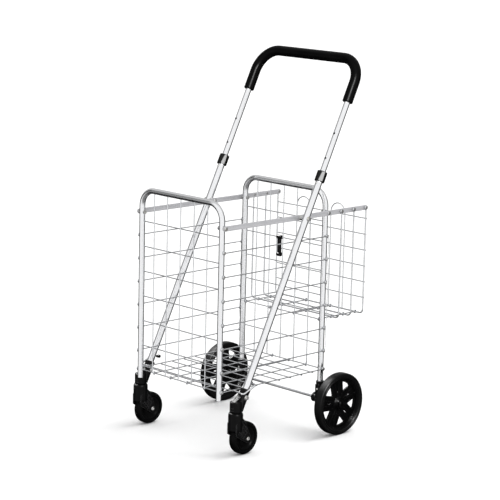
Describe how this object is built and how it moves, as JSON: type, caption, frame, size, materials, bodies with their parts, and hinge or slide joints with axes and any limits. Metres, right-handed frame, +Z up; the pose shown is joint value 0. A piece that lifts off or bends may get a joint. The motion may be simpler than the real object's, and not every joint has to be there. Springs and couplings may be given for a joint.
{
  "type": "folding shopping trolley",
  "caption": "Folding wire shopping trolley with a small rear basket, a sloping telescopic handle, swivel front casters and large rear wheels.",
  "frame": {"origin": "on the floor, at the middle of the trolley's outline", "axes": "+X forward towards the swivel casters, +Y to the trolley's left, +Z up"},
  "size_m": [0.555, 0.484, 1.0449],
  "materials": {
    "frame_tube": "bright silver tube, satin",
    "rail_steel": "matt light grey flat bar",
    "mesh_wire": "bright zinc-plated wire",
    "bright_wire": "polished wire",
    "fastener": "bright plated fastener",
    "moulded_plastic": "black moulded plastic",
    "glossy_plastic": "glossy black plastic",
    "grip_rubber": "black soft grip",
    "wheel_tyre": "black foam tyre",
    "caster_tread": "black caster tread"
  },
  "bodies": {
    "rear_frame": {"rear_frame_tube": "frame_tube", "rear_panel_wires": "mesh_wire", "rear_hook_pins": "fastener", "rear_rail_pins": "fastener", "hook_keeper_wires": "mesh_wire", "axle_housing_left": "moulded_plastic", "axle_housing_right": "moulded_plastic", "housing_screws": "fastener", "rear_axle": "fastener"},
    "front_frame": {"front_frame_tube": "frame_tube", "front_panel_wires": "mesh_wire", "front_hook_pins": "fastener", "front_rail_pins": "fastener"},
    "side_rails": {"side_rail_left": "rail_steel", "side_rail_right": "rail_steel", "hanger_rivets": "fastener", "handle_pivot_bolts": "fastener", "handle_spacers": "fastener"},
    "floor": {"floor_grid": "mesh_wire"},
    "front_hanger": {"basket_hanger_front": "mesh_wire"},
    "middle_hanger": {"basket_hanger_middle": "mesh_wire"},
    "basket_back": {"basket_back_panel": "mesh_wire"},
    "basket_base": {"basket_floor": "mesh_wire"},
    "handle_legs": {"lower_tube_left": "frame_tube", "lower_tube_right": "frame_tube", "handle_collar_left": "glossy_plastic", "handle_collar_right": "glossy_plastic", "caster_bracket_left": "moulded_plastic", "caster_bracket_right": "moulded_plastic", "caster_bracket_bolts": "fastener"},
    "bails": {"guide_bails": "bright_wire", "bail_caps": "moulded_plastic"},
    "handle_bar": {"handle_bar_tube": "frame_tube", "handle_grip": "grip_rubber"},
    "clip": {"fold_clip": "moulded_plastic"},
    "side_wire_row_1": {"side_wires_1": "mesh_wire"},
    "side_wire_row_2": {"side_wires_2": "mesh_wire"},
    "side_wire_row_3": {"side_wires_3": "mesh_wire"},
    "side_wire_row_4": {"side_wires_4": "mesh_wire"},
    "side_wire_row_5": {"side_wires_5": "mesh_wire"},
    "side_wire_row_6": {"side_wires_6": "mesh_wire"},
    "button_left": {"snap_button_left": "fastener"},
    "caster_swivel_left": {"caster_fork_left": "moulded_plastic", "caster_stem_left": "fastener", "caster_axle_left": "fastener"},
    "caster_wheel_left": {"caster_tyre_left": "caster_tread", "caster_hub_left": "moulded_plastic"},
    "rear_wheel_left": {"rear_tyre_left": "wheel_tyre", "rear_rim_left": "moulded_plastic", "rear_hub_cap_left": "moulded_plastic"},
    "button_right": {"snap_button_right": "fastener"},
    "caster_swivel_right": {"caster_fork_right": "moulded_plastic", "caster_stem_right": "fastener", "caster_axle_right": "fastener"},
    "caster_wheel_right": {"caster_tyre_right": "caster_tread", "caster_hub_right": "moulded_plastic"},
    "rear_wheel_right": {"rear_tyre_right": "wheel_tyre", "rear_rim_right": "moulded_plastic", "rear_hub_cap_right": "moulded_plastic"}
  },
  "joints": [
    {"name": "fold", "type": "hinge", "parent": "rear_frame", "child": "side_rails", "pos_m": [-0.1215, 0, 0.614], "axis": [0, -1, 0], "range_deg": [0, 77]},
    {"name": "front_frame_hinge", "type": "hinge", "parent": "side_rails", "child": "front_frame", "pos_m": [0.2695, 0, 0.614], "axis": [0, -1, 0], "range_deg": [-77, 0]},
    {"name": "side_wire_hinge_1", "type": "hinge", "parent": "rear_frame", "child": "side_wire_row_1", "pos_m": [-0.1215, 0, 0.5492], "axis": [0, -1, 0], "range_deg": [0, 77]},
    {"name": "side_wire_hinge_2", "type": "hinge", "parent": "rear_frame", "child": "side_wire_row_2", "pos_m": [-0.1215, 0, 0.4844], "axis": [0, -1, 0], "range_deg": [0, 77]},
    {"name": "side_wire_hinge_3", "type": "hinge", "parent": "rear_frame", "child": "side_wire_row_3", "pos_m": [-0.1215, 0, 0.4196], "axis": [0, -1, 0], "range_deg": [0, 77]},
    {"name": "side_wire_hinge_4", "type": "hinge", "parent": "rear_frame", "child": "side_wire_row_4", "pos_m": [-0.1215, 0, 0.3548], "axis": [0, -1, 0], "range_deg": [0, 77]},
    {"name": "side_wire_hinge_5", "type": "hinge", "parent": "rear_frame", "child": "side_wire_row_5", "pos_m": [-0.1215, 0, 0.29], "axis": [0, -1, 0], "range_deg": [0, 77]},
    {"name": "side_wire_hinge_6", "type": "hinge", "parent": "rear_frame", "child": "side_wire_row_6", "pos_m": [-0.1215, 0, 0.2252], "axis": [0, -1, 0], "range_deg": [0, 77]},
    {"name": "floor_hinge", "type": "hinge", "parent": "rear_frame", "child": "floor", "pos_m": [-0.1215, 0, 0.173], "axis": [0, -1, 0], "range_deg": [0, 77]},
    {"name": "front_hanger_hinge", "type": "hinge", "parent": "side_rails", "child": "front_hanger", "pos_m": [-0.17117, 0, 0.614], "axis": [0, -1, 0], "range_deg": [-77, 0]},
    {"name": "middle_hanger_hinge", "type": "hinge", "parent": "side_rails", "child": "middle_hanger", "pos_m": [-0.22083, 0, 0.614], "axis": [0, -1, 0], "range_deg": [-77, 0]},
    {"name": "basket_back_hinge", "type": "hinge", "parent": "side_rails", "child": "basket_back", "pos_m": [-0.2705, 0, 0.614], "axis": [0, -1, 0], "range_deg": [-77, 0]},
    {"name": "basket_base_hinge", "type": "hinge", "parent": "rear_frame", "child": "basket_base", "pos_m": [-0.1215, 0, 0.31167], "axis": [0, -1, 0], "range_deg": [0, 77]},
    {"name": "handle_pivot", "type": "hinge", "parent": "side_rails", "child": "handle_legs", "pos_m": [-0.01, 0, 0.614], "axis": [0, -1, 0], "range_deg": [-90.33, 0]},
    {"name": "bail_slide", "type": "slide", "parent": "handle_legs", "child": "bails", "axis": [-0.4392, 0, 0.8984], "range_m": [0, 0.2801]},
    {"name": "handle_height", "type": "slide", "parent": "handle_legs", "child": "handle_bar", "axis": [-0.4392, 0, 0.8984], "range_m": [-0.0725, 0]},
    {"name": "clip_hinge", "type": "hinge", "parent": "rear_frame", "child": "clip", "pos_m": [-0.1215, 0, 0.51967], "axis": [0, -1, 0], "range_deg": [-45, 100]},
    {"name": "button_press_left", "type": "slide", "parent": "handle_legs", "child": "button_left", "axis": [-0.8984, 0, -0.4392], "range_m": [0, 0.0028], "stiffness_N_per_m": 400},
    {"name": "swivel_left", "type": "hinge", "parent": "handle_legs", "child": "caster_swivel_left", "pos_m": [0.2385, 0.191, 0.119], "axis": [0, 0, 1], "continuous": true},
    {"name": "caster_spin_left", "type": "hinge", "parent": "caster_swivel_left", "child": "caster_wheel_left", "pos_m": [0.2085, 0.191, 0.045], "axis": [0, 1, 0], "continuous": true},
    {"name": "rear_spin_left", "type": "hinge", "parent": "rear_frame", "child": "rear_wheel_left", "pos_m": [-0.1215, 0.229, 0.087], "axis": [0, 1, 0], "continuous": true},
    {"name": "button_press_right", "type": "slide", "parent": "handle_legs", "child": "button_right", "axis": [-0.8984, 0, -0.4392], "range_m": [0, 0.0028], "stiffness_N_per_m": 400},
    {"name": "swivel_right", "type": "hinge", "parent": "handle_legs", "child": "caster_swivel_right", "pos_m": [0.2385, -0.191, 0.119], "axis": [0, 0, 1], "continuous": true},
    {"name": "caster_spin_right", "type": "hinge", "parent": "caster_swivel_right", "child": "caster_wheel_right", "pos_m": [0.2085, -0.191, 0.045], "axis": [0, 1, 0], "continuous": true},
    {"name": "rear_spin_right", "type": "hinge", "parent": "rear_frame", "child": "rear_wheel_right", "pos_m": [-0.1215, -0.229, 0.087], "axis": [0, 1, 0], "continuous": true}
  ],
  "couplings": [
    {"joint": "front_frame_hinge", "follows": "fold", "ratio": -1},
    {"joint": "side_wire_hinge_1", "follows": "fold", "ratio": 1},
    {"joint": "side_wire_hinge_2", "follows": "fold", "ratio": 1},
    {"joint": "side_wire_hinge_3", "follows": "fold", "ratio": 1},
    {"joint": "side_wire_hinge_4", "follows": "fold", "ratio": 1},
    {"joint": "side_wire_hinge_5", "follows": "fold", "ratio": 1},
    {"joint": "side_wire_hinge_6", "follows": "fold", "ratio": 1},
    {"joint": "floor_hinge", "follows": "fold", "ratio": 1},
    {"joint": "front_hanger_hinge", "follows": "fold", "ratio": -1},
    {"joint": "middle_hanger_hinge", "follows": "fold", "ratio": -1},
    {"joint": "basket_back_hinge", "follows": "fold", "ratio": -1},
    {"joint": "basket_base_hinge", "follows": "fold", "ratio": 1},
    {"joint": "handle_pivot", "follows": "fold", "ratio": -1.173},
    {"joint": "bail_slide", "follows": "fold", "m_per_rad": 0.2083}
  ]
}
